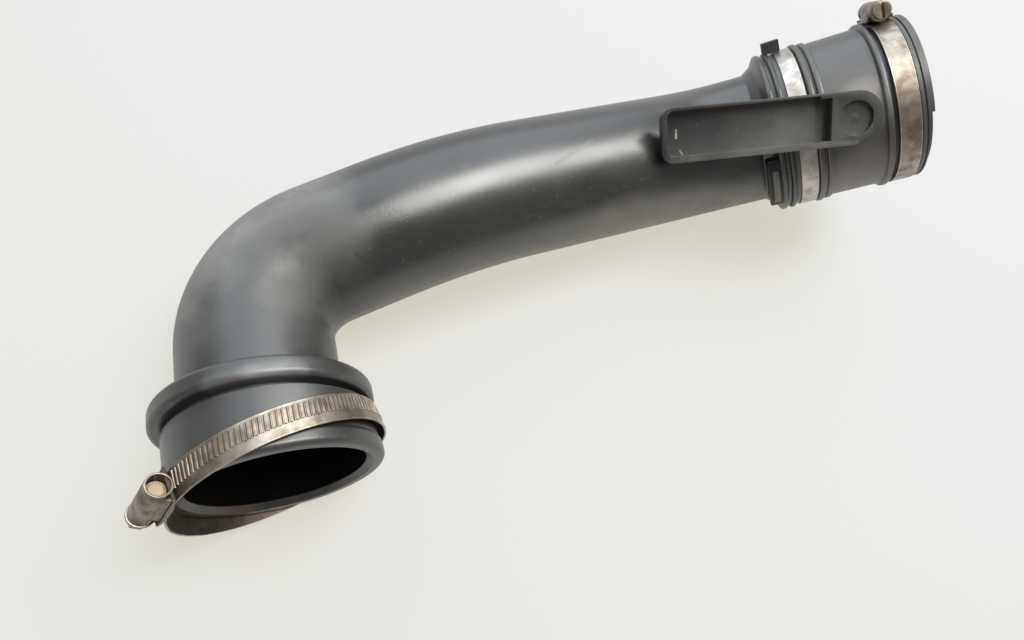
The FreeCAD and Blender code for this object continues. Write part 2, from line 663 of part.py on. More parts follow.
tray_start = "sizes.arm_eye_width / 2 + sizes.arm_step"
tray_low = "sizes.arm_rim + " + eye_low
tray_sketch = arm_body.newObject("Sketcher::SketchObject", "tray_outline")
tray_sketch.AttachmentSupport = [(plane(arm_body, "XY_Plane"), "")]
tray_sketch.MapMode = "FlatFace"
tray_sketch.setExpression("AttachmentOffset.Base.z", "sizes.arm_thick")
polygon(tray_sketch, [
    (tray_start, tray_low),
    (arm_total + " - sizes.arm_rim - sizes.tray_corner", "sizes.arm_rim"),
    (arm_total + " - sizes.arm_rim", "sizes.arm_rim + sizes.tray_corner"),
    (arm_total + " - sizes.arm_rim", "sizes.arm_width - sizes.arm_rim - sizes.tray_corner"),
    (arm_total + " - sizes.arm_rim - sizes.tray_corner", "sizes.arm_width - sizes.arm_rim"),
    (tray_start, "sizes.arm_width - (" + tray_low + ")"),
])
doc.recompute()
tray = arm_body.newObject("PartDesign::Pocket", "tray")
tray.Profile = tray_sketch
tray.setExpression("Length", "sizes.arm_thick - sizes.arm_floor")
doc.recompute()


def eye_pocket(name, radius, depth):
    sketch = arm_body.newObject("Sketcher::SketchObject", name + "_outline")
    sketch.AttachmentSupport = [(plane(arm_body, "XY_Plane"), "")]
    sketch.MapMode = "FlatFace"
    sketch.setExpression("AttachmentOffset.Base.z", "sizes.arm_thick")
    sketch.addGeometry(Part.Circle(V(size("arm_width"), size("arm_width"), 0), V(0, 0, 1), size("eye_hole")), False)
    for kind, text in (("DistanceX", "sizes.arm_eye_width / 2"), ("DistanceY", "sizes.arm_width / 2")):
        index = sketch.addConstraint(Sketcher.Constraint(kind, -1, 1, 0, 3, 5.0))
        sketch.setExpression("Constraints[%d]" % index, text)
    index = sketch.addConstraint(Sketcher.Constraint("Radius", 0, 3.0))
    sketch.setExpression("Constraints[%d]" % index, radius)
    doc.recompute()
    pocket = arm_body.newObject("PartDesign::Pocket", name)
    pocket.Profile = sketch
    pocket.setExpression("Length", depth)
    doc.recompute()


eye_pocket("eye_recess", "sizes.eye_recess", "sizes.arm_thick - sizes.arm_floor")
eye_pocket("eye_bore", "sizes.eye_hole", "sizes.arm_thick + sizes.cut_past")
arm_body.Placement = arm_frame.multiply(shifted(-size("arm_eye_width") / 2, -size("arm_width") / 2, 0))

leg_drop = size("arm_tail_height") - size("tube_radius_end")
legs = []
for side, name in ((-1, "arm_leg_near"), (1, "arm_leg_far")):
    edge_y = side * (size("arm_width") / 2 - 2 * size("arm_leg"))
    legs.append(primitive(
        "Box", name, arm_frame,
        shifted(size("arm_leg_place"), edge_y - size("arm_leg") / 2, -leg_drop),
        Length="sizes.arm_leg_length", Width="sizes.arm_leg",
        Height="%.3f + sizes.arm_floor / 2" % leg_drop,
    ))
retaining_arm = cut("retaining_arm", fused("arm_with_legs", [arm_body] + legs), hose_outside)

# Domed pin through the arm's eye, standing on the sleeve's boss
pin_shank = "sizes.eye_hole - sizes.seat_gap"
pin_seat = "sizes.arm_floor + sizes.seat_gap / 2"
arm_pin = turned("arm_pin", [
    ("0", "0"),
    (pin_shank, "0"),
    (pin_shank, pin_seat),
    ("sizes.pin_head_radius", pin_seat),
    ("sizes.pin_head_radius * 0.92", pin_seat + " + sizes.pin_head * 0.4"),
    ("sizes.pin_head_radius * 0.66", pin_seat + " + sizes.pin_head * 0.75"),
    ("sizes.pin_head_radius * 0.3", pin_seat + " + sizes.pin_head * 0.96"),
    ("0", pin_seat + " + sizes.pin_head"),
])
arm_pin.Placement = arm_frame
doc.recompute()

NODES = {
    "elbow_hose": elbow_hose,
    "coupling_sleeve": coupling_sleeve,
    "crimp_band": crimp_band,
    "retaining_arm": retaining_arm,
    "arm_pin": arm_pin,
    "mouth_clamp_band": mouth_clamp_band,
    "mouth_clamp_housing": mouth_housing,
    "mouth_clamp_screw": mouth_screw,
    "end_clamp_band": end_clamp_band,
    "end_clamp_housing": end_housing,
    "end_clamp_screw": end_screw,
}

for item in doc.Objects:
    if "Invalid" in item.State or "Error" in item.State:
        raise RuntimeError("object in error: " + item.Name)

os.makedirs("parts", exist_ok=True)
box = FreeCAD.BoundBox()
for node, item in NODES.items():
    shape = item.Shape
    if shape.isNull() or not shape.isValid() or len(shape.Solids) != 1:
        raise RuntimeError("bad solid: %s %d" % (node, len(shape.Solids)))
    item.Label = node
    shape.exportStep("parts/%s.step" % node)
    box.add(shape.BoundBox)
    print("%-20s volume %.0f" % (node, shape.Volume))
print("box", box.XMin, box.XMax, box.YMin, box.YMax, box.ZMin, box.ZMax)
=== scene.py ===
import math
import bpy
from mathutils import Matrix, Vector


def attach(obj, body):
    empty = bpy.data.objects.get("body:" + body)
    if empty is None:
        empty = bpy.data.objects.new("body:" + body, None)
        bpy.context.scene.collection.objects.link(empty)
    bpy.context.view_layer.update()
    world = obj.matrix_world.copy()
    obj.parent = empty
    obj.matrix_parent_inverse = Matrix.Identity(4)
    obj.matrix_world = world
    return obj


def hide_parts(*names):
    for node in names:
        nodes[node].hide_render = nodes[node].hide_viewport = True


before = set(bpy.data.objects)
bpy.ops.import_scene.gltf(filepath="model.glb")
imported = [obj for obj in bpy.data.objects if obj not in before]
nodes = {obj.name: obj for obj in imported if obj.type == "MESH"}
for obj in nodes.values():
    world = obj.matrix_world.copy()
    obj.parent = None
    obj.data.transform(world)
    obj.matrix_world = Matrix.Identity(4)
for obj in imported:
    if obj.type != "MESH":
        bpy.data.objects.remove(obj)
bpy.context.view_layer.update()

scene = bpy.context.scene
bpy.ops.object.select_all(action="DESELECT")
print("frame loaded", len(nodes), "nodes")

# camera, from the fit of the outlines
shot = {
    "eye": (-0.137316, -0.112689, 0.33098),
    "right": (0.941, -0.248, 0.231),
    "up": (0.167, 0.932, 0.321),
    "lens": 23.364,
    "sensor": 36.0,
    "near": 0.01,
    "far": 20,
}


def addCamera():
    right = Vector(shot["right"]).normalized()
    back = right.cross(Vector(shot["up"])).normalized()
    up = back.cross(right)
    turn = Matrix((right, up, back)).transposed().to_4x4()
    bpy.ops.object.camera_add()
    eye = bpy.context.object
    eye.name = "photoEye"
    eye.matrix_world = Matrix.Translation(shot["eye"]) @ turn
    eye.data.lens = shot["lens"]
    eye.data.sensor_fit = "HORIZONTAL"
    eye.data.sensor_width = shot["sensor"]
    eye.data.clip_start = shot["near"]
    eye.data.clip_end = shot["far"]
    eye.data.dof.use_dof = False
    scene.camera = eye


addCamera()
print("camera placed")

# floor and light
studio = {
    "floorSize": 6.0,
    "bounceTint": (0.92, 0.86, 0.74, 1),  # what the hose's soft light gets from the floor
    "seenTint": (0.43, 0.458, 0.65, 1),  # what camera and reflections see, with the glow below
    "glowTint": (0.88, 0.855, 0.70, 1),
    "glowShare": 0.7,
    "skyTint": (1.0, 0.975, 0.94, 1),
    "skyLevel": 0.28,
    "boxes": [  # name, place, turn in degrees, width, depth, watts, tint
        ("overheadStrip", (0.60, 0.31, 1.45), (0, 0, 19), 1.55, 0.7, 39, (1.0, 0.985, 0.95)),
        ("coolWindow", (-0.2, 1.9, 1.45), (-60, 0, 0), 3.4, 2.5, 52, (0.82, 0.92, 1.0)),
    ],
}


def addFloor():
    bpy.ops.mesh.primitive_plane_add(size=studio["floorSize"])
    floor = bpy.context.object
    floor.name = "paperFloor"
    mat = bpy.data.materials.new("paperFloor")
    mat.use_nodes = True
    tree = mat.node_tree
    tree.nodes.clear()
    out = tree.nodes.new("ShaderNodeOutputMaterial")
    plain = tree.nodes.new("ShaderNodeBsdfDiffuse")
    tint = tree.nodes.new("ShaderNodeMix")
    tint.data_type = "RGBA"
    tint.inputs["A"].default_value = studio["bounceTint"]
    tint.inputs["B"].default_value = studio["seenTint"]
    glow = tree.nodes.new("ShaderNodeEmission")
    glow.inputs["Color"].default_value = studio["glowTint"]
    path = tree.nodes.new("ShaderNodeLightPath")
    kinds = ("Is Camera Ray", "Is Glossy Ray", "Is Transmission Ray")
    rays = [path.outputs[kind] for kind in kinds]
    seen = rays[0]
    for ray in rays[1:]:
        both = tree.nodes.new("ShaderNodeMath")
        both.operation = "MAXIMUM"
        tree.links.new(seen, both.inputs[0])
        tree.links.new(ray, both.inputs[1])
        seen = both.outputs[0]
    share = tree.nodes.new("ShaderNodeMath")
    share.operation = "MULTIPLY"
    share.inputs[1].default_value = studio["glowShare"]
    blend = tree.nodes.new("ShaderNodeMixShader")
    tree.links.new(seen, tint.inputs["Factor"])
    tree.links.new(tint.outputs["Result"], plain.inputs["Color"])
    tree.links.new(seen, share.inputs[0])
    tree.links.new(share.outputs[0], blend.inputs[0])
    tree.links.new(plain.outputs[0], blend.inputs[1])
    tree.links.new(glow.outputs[0], blend.inputs[2])
    tree.links.new(blend.outputs[0], out.inputs[0])
    floor.data.materials.append(mat)


def addLight():
    world = bpy.data.worlds.new("studioSky")
    scene.world = world
    world.use_nodes = True
    sky = world.node_tree.nodes["Background"]
    sky.inputs[0].default_value = studio["skyTint"]
    sky.inputs[1].default_value = studio["skyLevel"]
    for name, spot, turn, wide, deep, watts, tint in studio["boxes"]:
        bpy.ops.object.light_add(type="AREA", location=spot)
        lamp = bpy.context.object
        lamp.name = name
        lamp.rotation_euler = [math.radians(angle) for angle in turn]
        lamp.data.shape = "RECTANGLE"
        lamp.data.size = wide
        lamp.data.size_y = deep
        lamp.data.energy = watts
        lamp.data.color = tint


addFloor()
addLight()
scene.view_settings.view_transform = "Standard"
print("floor and light set")


# finishes
def newFinish(name):
    mat = bpy.data.materials.new(name)
    mat.use_nodes = True
    return mat, mat.node_tree, mat.node_tree.nodes["Principled BSDF"]


def grain(tree, size, detail=4.0, rough=0.55):
    place = tree.nodes.new("ShaderNodeTexCoord")
    noise = tree.nodes.new("ShaderNodeTexNoise")
    noise.inputs["Scale"].default_value = size
    noise.inputs["Detail"].default_value = detail
    noise.inputs["Roughness"].default_value = rough
    tree.links.new(place.outputs["Object"], noise.inputs["Vector"])
    return noise.outputs["Fac"]


def ramp(tree, fac, stops):  # two stops, each a place and a tint
    node = tree.nodes.new("ShaderNodeValToRGB")
    for element, (at, tint) in zip(node.color_ramp.elements, stops):
        element.position = at
        element.color = (*tint, 1)
    tree.links.new(fac, node.inputs[0])
    return node.outputs[0]


def spread(tree, fac, low, high, start=0.0, stop=1.0):
    node = tree.nodes.new("ShaderNodeMapRange")
    node.inputs["From Min"].default_value = start
    node.inputs["From Max"].default_value = stop
    node.inputs["To Min"].default_value = low
    node.inputs["To Max"].default_value = high
    tree.links.new(fac, node.inputs["Value"])
    return node.outputs[0]


def bump(tree, shader, fac, depth, strength=0.6):
    node = tree.nodes.new("ShaderNodeBump")
    node.inputs["Strength"].default_value = strength
    node.inputs["Distance"].default_value = depth
    tree.links.new(fac, node.inputs["Height"])
    tree.links.new(node.outputs[0], shader.inputs["Normal"])


def mixTint(tree, fac, first, second):
    node = tree.nodes.new("ShaderNodeMix")
    node.data_type = "RGBA"
    tree.links.new(fac, node.inputs["Factor"])
    for socket, tint in (("A", first), ("B", second)):
        if isinstance(tint, tuple):
            node.inputs[socket].default_value = (*tint, 1)
        else:
            tree.links.new(tint, node.inputs[socket])
    return node.outputs["Result"]


def combine(tree, kind, a, b):
    node = tree.nodes.new("ShaderNodeMath")
    node.operation = kind
    for socket, value in zip(node.inputs, (a, b)):
        if isinstance(value, (int, float)):
            socket.default_value = value
        else:
            tree.links.new(value, socket)
    return node.outputs[0]


def spotMask(tree, centre, inner, outer):  # one at a place on the object, nought past outer
    place = tree.nodes.new("ShaderNodeTexCoord")
    gap = tree.nodes.new("ShaderNodeVectorMath")
    gap.operation = "DISTANCE"
    gap.inputs[1].default_value = centre
    tree.links.new(place.outputs["Object"], gap.inputs[0])
    return spread(tree, gap.outputs["Value"], 1, 0, inner, outer)


def lineMask(tree, start, stop, inner, outer):  # one along a line on the object, nought past outer
    a, b = Vector(start), Vector(stop)
    place = tree.nodes.new("ShaderNodeTexCoord")
    steps = []
    for kind, value in (("SUBTRACT", a), ("DOT_PRODUCT", (b - a) / (b - a).length_squared)):
        node = tree.nodes.new("ShaderNodeVectorMath")
        node.operation = kind
        node.inputs[1].default_value = value
        steps.append(node)
    tree.links.new(place.outputs["Object"], steps[0].inputs[0])
    tree.links.new(steps[0].outputs["Vector"], steps[1].inputs[0])
    along = spread(tree, steps[1].outputs["Value"], 0, 1)
    reach = tree.nodes.new("ShaderNodeVectorMath")
    reach.operation = "SCALE"
    reach.inputs[0].default_value = b - a
    tree.links.new(along, reach.inputs["Scale"])
    gap = tree.nodes.new("ShaderNodeVectorMath")
    gap.operation = "DISTANCE"
    tree.links.new(steps[0].outputs["Vector"], gap.inputs[0])
    tree.links.new(reach.outputs["Vector"], gap.inputs[1])
    return spread(tree, gap.outputs["Value"], 1, 0, inner, outer)


rubberLook = {  # a grain is its scale, detail and roughness
    "cloud": (28, 5), "tintStops": (0.35, 0.72), "roughSpan": (0.3, 0.7),
    "speck": (420, 2, 0.4), "speckSpan": (0.66, 0.74), "speckShare": 0.35,
    "speckTint": (0.09, 0.085, 0.075),
    "fineMark": 0.002, "fineGrain": (900, 4), "broadGrain": (60, 4),
    "patchSpan": (0.4, 0.6), "patchLow": 0.55,
    "pore": (700, 3), "poreDeep": 0.00008, "poreStrength": 0.5,
}
matteLook = {"cloud": (90, 4), "tintStops": (0.35, 0.65), "shine": 0.05}
steelLook = {
    "stain": (180, 6), "tintStops": (0.35, 0.65), "roughSpan": (0.3, 0.7),
    "brush": (1500, 3), "brushDeep": 0.00003,
}


def rubberFinish(name, dark, light, roughLow, roughHigh, shine, marksAndPaintedLight=()):
    look = rubberLook
    mat, tree, shader = newFinish(name)
    cloud = grain(tree, *look["cloud"])
    tint = ramp(tree, cloud, zip(look["tintStops"], (dark, light)))
    rough = spread(tree, cloud, roughLow, roughHigh, *look["roughSpan"])
    speck = spread(tree, grain(tree, *look["speck"]), 0, look["speckShare"], *look["speckSpan"])
    tint = mixTint(tree, speck, tint, look["speckTint"])
    # each entry tints and roughens a masked patch: some are wear, dust or scars, others are painted
    # light or painted shade
    for kind, where, inner, outer, strength, paint, dull in marksAndPaintedLight:
        if kind == "line":
            mask = lineMask(tree, *where, inner, outer)
        else:
            mask = spotMask(tree, where, inner, outer)
        patch = grain(tree, *look["broadGrain" if outer > look["fineMark"] else "fineGrain"])
        patch = spread(tree, patch, look["patchLow"] * strength, strength, *look["patchSpan"])
        mask = combine(tree, "MULTIPLY", mask, patch)
        tint = mixTint(tree, mask, tint, paint)
        rough = combine(tree, "ADD", rough, combine(tree, "MULTIPLY", mask, dull))
    tree.links.new(tint, shader.inputs["Base Color"])
    tree.links.new(rough, shader.inputs["Roughness"])
    shader.inputs["Specular IOR Level"].default_value = shine
    bump(tree, shader, grain(tree, *look["pore"]), look["poreDeep"], look["poreStrength"])
    return mat


def matteFinish(name, dark, light, rough):
    look = matteLook
    mat, tree, shader = newFinish(name)
    tint = ramp(tree, grain(tree, *look["cloud"]), zip(look["tintStops"], (dark, light)))
    tree.links.new(tint, shader.inputs["Base Color"])
    shader.inputs["Roughness"].default_value = rough
    shader.inputs["Specular IOR Level"].default_value = look["shine"]
    return mat


def steelFinish(name, dark, light, roughLow, roughHigh):
    look = steelLook
    mat, tree, shader = newFinish(name)
    shader.inputs["Metallic"].default_value = 1.0
    stain = grain(tree, *look["stain"])
    tint = ramp(tree, stain, zip(look["tintStops"], (dark, light)))
    rough = spread(tree, stain, roughHigh, roughLow, *look["roughSpan"])
    tree.links.new(tint, shader.inputs["Base Color"])
    tree.links.new(rough, shader.inputs["Roughness"])
    bump(tree, shader, grain(tree, *look["brush"]), look["brushDeep"])
    return mat


hoseMarksAndPaintedLight = [  # kind, place, inner, outer, strength, tint, added roughness
    # painted sheen: the next three entries lighten the elbow's top in place of the window's
    # reflection; the third is also rougher, which dulls the lamp's glint there
    ("line", ((-0.128, 0.036, 0.062), (-0.172, 0.016, 0.056)),
     0.004, 0.026, 0.85, (0.2, 0.198, 0.19), 0.12),
    ("spot", (-0.184, -0.002, 0.058), 0.006, 0.034, 0.9, (0.12, 0.12, 0.117), 0.14),
    ("spot", (-0.132, 0.008, 0.070), 0.010, 0.032, 1.0, (0.05, 0.049, 0.046), 0.4),
    # painted sheen: a broad, lighter, bluish patch over the top of the bead and cuff, in place of
    # the cool window's reflection
    ("spot", (-0.161, -0.056, 0.086), 0.02, 0.06, 0.5, (0.05, 0.052, 0.056), 0.08),
    # painted highlight: a lighter line along the bead's lower edge
    ("line", ((-0.172, -0.0465, 0.0832), (-0.1584, -0.0454, 0.0868)),
     0.0012, 0.005, 0.7, (0.15, 0.15, 0.148), 0.1),
    ("line", ((-0.1584, -0.0454, 0.0868), (-0.1416, -0.0464, 0.0837)),
     0.0012, 0.005, 0.8, (0.18, 0.18, 0.178), 0.1),
    ("spot", (-0.1382, -0.0166, 0.0625), 0.005, 0.022, 0.7, (0.07, 0.069, 0.066), 0.1),
    # painted reflection: warm, lighter bands along the long leg's underside, standing in for the
    # floor's warm bounce
    ("line", ((-0.094, -0.006, 0.033), (0.021, 0.0118, 0.041)),
     0.006, 0.024, 0.9, (0.115, 0.108, 0.086), 0.05),
    ("line", ((0.021, 0.0118, 0.041), (0.1, 0.018, 0.038)),
     0.006, 0.024, 0.9, (0.115, 0.108, 0.086), 0.05),
    ("line", ((-0.1120, 0.0050, 0.0650), (-0.1072, 0.0004, 0.0622)),
     0.0002, 0.0009, 1.2, (0.004, 0.004, 0.003), 0.2),
    ("line", ((-0.0154, 0.0309, 0.075), (0.0075, 0.0426, 0.0743)),
     0.0003, 0.0012, 0.5, (0.1, 0.098, 0.09), 0.2),
    ("spot", (0.12168, 0.08285, 0.08328), 0.0055, 0.0075, 1.8, (0.004, 0.004, 0.004), 0.1),
    # painted shade: these two entries blacken the inside of the mouth's bore
    ("spot", (-0.15693, -0.06194, 0.04398), 0.0350, 0.0361, 1.8, (0.002, 0.002, 0.002), 0.4),
    ("spot", (-0.1590, -0.0444, 0.0422), 0.0295, 0.0315, 1.8, (0.002, 0.002, 0.002), 0.4),
    # painted reflection: a brown band on the lower front of the lip, the warm floor reflected
    ("line", ((-0.186, -0.0840, 0.030), (-0.175, -0.0850, 0.018)),
     0.003, 0.010, 0.9, (0.06, 0.036, 0.018), 0.2),
]
couplingPaintedLight = [  # as above
    # painted highlight: a light patch on the coupling's top, above the arm's eye
    ("spot", (0.1398, 0.0290, 0.1045), 0.005, 0.015, 0.9, (0.24, 0.23, 0.21), 0.05),
    # painted reflection: a warm, lighter patch on the coupling's underside, from the floor's bounce
    ("spot", (0.150, 0.006, 0.074), 0.005, 0.026, 0.8, (0.12, 0.112, 0.096), 0.05),
]
armMarksAndHighlight = [  # as above
    ("line", ((0.05006, 0.0400, 0.0800), (0.04998, 0.0368, 0.0779)),
     0.0002, 0.0007, 0.9, (0.42, 0.41, 0.39), 0.2),
    ("line", ((0.0517, 0.0312, 0.0751), (0.0528, 0.0297, 0.0746)),
     0.0002, 0.0006, 0.7, (0.32, 0.31, 0.29), 0.2),
    ("spot", (0.098, 0.02, 0.09), 0.005, 0.032, 0.8, (0.1, 0.096, 0.088), 0.1),
    # painted highlight: a lighter line along the arm's lower rim, from the tail to the eye
    ("line", ((0.12737, 0.01031, 0.10237), (0.04524, 0.02632, 0.07511)),
     0.0006, 0.0023, 0.8, (0.12, 0.117, 0.108), 0.05),
]
hoseRubber = rubberFinish(
    "hoseRubber", (0.015, 0.0147, 0.0135), (0.025, 0.0245, 0.0225), 0.30, 0.38, 1.0, hoseMarksAndPaintedLight)
couplingRubber = rubberFinish(
    "couplingRubber", (0.032, 0.031, 0.03), (0.056, 0.053, 0.048), 0.36, 0.46, 1.0, couplingPaintedLight)
armPlastic = rubberFinish(
    "armPlastic", (0.016, 0.016, 0.016), (0.03, 0.029, 0.027), 0.40, 0.52, 0.6, armMarksAndHighlight)
latchBlack = rubberFinish(
    "latchBlack", (0.004, 0.004, 0.004), (0.008, 0.008, 0.008), 0.35, 0.5, 0.4)
latchGrey = rubberFinish("latchGrey", (0.09, 0.088, 0.08), (0.14, 0.135, 0.125), 0.4, 0.5, 0.5)
clampSteel = steelFinish("clampSteel", (0.22, 0.18, 0.145), (0.46, 0.41, 0.35), 0.36, 0.5)
housingSteel = steelFinish("housingSteel", (0.15, 0.122, 0.095), (0.36, 0.315, 0.265), 0.42, 0.58)
screwSteel = steelFinish("screwSteel", (0.2, 0.17, 0.13), (0.45, 0.4, 0.33), 0.34, 0.5)
screwTip = rubberFinish("screwTip", (0.4, 0.32, 0.21), (0.52, 0.43, 0.3), 0.5, 0.6, 0.4)
# a lighter, smoother copy of the band steel: painted highlight on the bands' rolled edges
edgeSteel = steelFinish("edgeSteel", (0.36, 0.32, 0.27), (0.6, 0.56, 0.5), 0.32, 0.44)
crimpSteel = steelFinish("crimpSteel", (0.36, 0.325, 0.295), (0.6, 0.56, 0.52), 0.3, 0.42)
# grime with painted shade: the dark finish of the thread's slot strips and of the barrel's bore
slotDirt = rubberFinish("slotDirt", (0.045, 0.036, 0.026), (0.09, 0.072, 0.053), 0.6, 0.8, 0.3)
boreBlack = matteFinish("boreBlack", (0.003, 0.003, 0.003), (0.006, 0.006, 0.005), 0.9)
ridgeSteel = steelFinish("ridgeSteel", (0.22, 0.18, 0.145), (0.44, 0.39, 0.33), 0.5, 0.62)

dress = {
    "elbow_hose": hoseRubber,
    "coupling_sleeve": couplingRubber,
    "crimp_band": crimpSteel,
    "retaining_arm": armPlastic,
    "arm_pin": armPlastic,
}
for name, node in nodes.items():
    node.data.materials.clear()
    node.data.materials.append(dress.get(name, clampSteel))
print("finishes set")


# modelling helpers
mm = 0.001
facing = 0.9  # how squarely a picked face looks along an axis


def localFrame(spot, xDir, zDir):
    x, z = Vector(xDir).normalized(), Vector(zDir).normalized()
    turn = Matrix((x, z.cross(x), z)).transposed().to_4x4()
    turn.translation = Vector(spot)
    return turn


couplingFrame = localFrame(  # z along the coupling's axis
    (0.186709, 0.040611, 0.09102), (-0.5523, 0.08094, 0.82971), (-0.82094, 0.1203, -0.5582))


def takeUp(obj):  # alone selected and active
    bpy.ops.object.select_all(action="DESELECT")
    obj.select_set(True)
    bpy.context.view_layer.objects.active = obj


def clearPicks(obj, kind):  # nothing picked on the mesh, ready to pick faces or edges
    takeUp(obj)
    bpy.ops.object.mode_set(mode="EDIT")
    bpy.ops.mesh.select_mode(type=kind)
    bpy.ops.mesh.select_all(action="DESELECT")
    bpy.ops.object.mode_set(mode="OBJECT")


def editFaces(obj, test):  # edit mode with the faces that pass the test selected
    clearPicks(obj, "FACE")
    for face in obj.data.polygons:
        face.select = test(face.center, face.normal)
    bpy.ops.object.mode_set(mode="EDIT")


def editEdges(obj, test):  # edit mode with the edges that pass the test selected
    clearPicks(obj, "EDGE")
    points = obj.data.vertices
    for edge in obj.data.edges:
        a, b = (points[i].co for i in edge.vertices)
        edge.select = test((a + b) / 2, b - a)
    bpy.ops.object.mode_set(mode="EDIT")


def growFaces(deep):  # push the picked faces out along their normals, in millimetres
    bpy.ops.mesh.extrude_faces_move(TRANSFORM_OT_shrink_fatten={"value": deep * mm})


def spinFrom(first, sweep, steps, copies=False):  # from the first angle round z, in degrees
    bpy.ops.transform.rotate(value=-math.radians(first), orient_axis="Z", center_override=(0, 0, 0))
    bpy.ops.mesh.spin(
        steps=steps, dupli=copies, angle=-math.radians(sweep), center=(0, 0, 0), axis=(0, 0, 1))


def leaveEdit():
    bpy.ops.object.mode_set(mode="OBJECT")


def useModifier(obj, kind, **settings):
    bpy.context.view_layer.objects.active = obj
    mod = obj.modifiers.new(kind.title(), kind)
    for key, value in settings.items():
        setattr(mod, key, value)
    bpy.ops.object.modifier_apply(modifier=mod.name)


def cutBy(obj, cutter):
    useModifier(obj, "BOOLEAN", operation="DIFFERENCE", solver="EXACT", object=cutter)
    bpy.data.objects.remove(cutter)


def block(low, high):  # a box between two corners, in millimetres
    bpy.ops.object.select_all(action="DESELECT")
    size = [(b - a) * mm for a, b in zip(low, high)]
    spot = [(a + b) / 2 * mm for a, b in zip(low, high)]
    bpy.ops.mesh.primitive_cube_add(size=1, location=spot, scale=size)
    bpy.ops.object.transform_apply(location=True, rotation=True, scale=True)
    return bpy.context.object


def roundBar(radius, start, stop, lift, sides=48):  # a bar along x, in millimetres
    bpy.ops.object.select_all(action="DESELECT")
    spot = ((start + stop) / 2 * mm, 0, lift * mm)
    bpy.ops.mesh.primitive_cylinder_add(
        vertices=sides, radius=radius * mm, depth=(stop - start) * mm,
        location=spot, rotation=(0, math.pi / 2, 0))
    bpy.ops.object.transform_apply(location=True, rotation=True, scale=True)
    return bpy.context.object


def softenEdges(obj, width, segments=2, angle=35):
    useModifier(obj, "BEVEL", width=width * mm, segments=segments, limit_method="ANGLE",
                angle_limit=math.radians(angle), harden_normals=False)


def joinPieces(name, items):
    bpy.ops.object.select_all(action="DESELECT")
    for item in items:
        item.select_set(True)
    bpy.context.view_layer.objects.active = items[0]
    bpy.ops.object.join()
    items[0].name = name
    return items[0]


def settle(obj, spot, mat, body, smooth=32):  # into its place, with finish and body
    takeUp(obj)
    obj.matrix_world = spot
    bpy.ops.object.transform_apply(location=True, rotation=True, scale=True)
    bpy.ops.object.shade_smooth_by_angle(angle=math.radians(smooth))
    if not obj.data.materials:
        obj.data.materials.append(mat)
    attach(obj, body)


# worm drives: x runs to the screw's head, z away from the band, in millimetres
wormDrive = {
    "barrelRadius": 4.8, "barrelHalf": 11.0, "barrelEdge": 0.35, "lift": 4.6,
    "boreRadius": 3.9, "boreDeep": 6.5,
    "saddleHalf": 7.2, "saddleWide": 4.1, "saddleLow": 0.3, "saddleEdge": 0.3, "saddleGap": 0.2,
    "skirtLong": 1.12, "skirtPast": 0.6, "hollowRim": 0.9, "hollowDeep": 2.2,
    "footHalf": 8.5, "footPast": 1.2, "footLow": 0.1, "footThick": 1.2, "footEdge": 0.3,
    "toeLong": 1.6, "toeRise": 0.7,
    "lugHalf": 4.0, "lugThick": 1.0, "lugLow": -0.75, "lugHigh": 1.1, "lugEdge": 0.25,
    "shankRadius": 3.4, "shankTail": 4.2, "shankIn": 0.5, "endGap": 0.35,
    "pointRim": 0.5, "pointLong": 0.5, "pointShare": 0.85,
    "collarRadius": 5.2, "collarThick": 1.4, "collarEdge": 0.4,
    "headRadius": 3.9, "headTall": 3.8, "headSink": 0.6, "headEdge": 0.22,
    "topRim": 0.01, "topTall": 0.5, "topShare": 0.82,
    "slotWide": 1.3, "slotDeep": 1.7, "slotPast": 2,
    "dirtPast": 0.05, "dirtLow": 0.5, "dirtHalf": 10.9, "tipFrom": -6, "tipFacing": -0.6,
}
wormDrives = [  # name, frame, width of the band, sides of the head
    ("mouth", localFrame((-0.19371, -0.078475, 0.068813), (-0.47735, -0.27063, -0.836),
                         (-0.84917, -0.10253, 0.51806)), 11.2, 6),
    ("end", localFrame((0.168446, 0.077016, 0.106736), (-0.52449, -0.54538, 0.65382),
                       (-0.22577, 0.82951, 0.51082)), 9.8, 28),
]


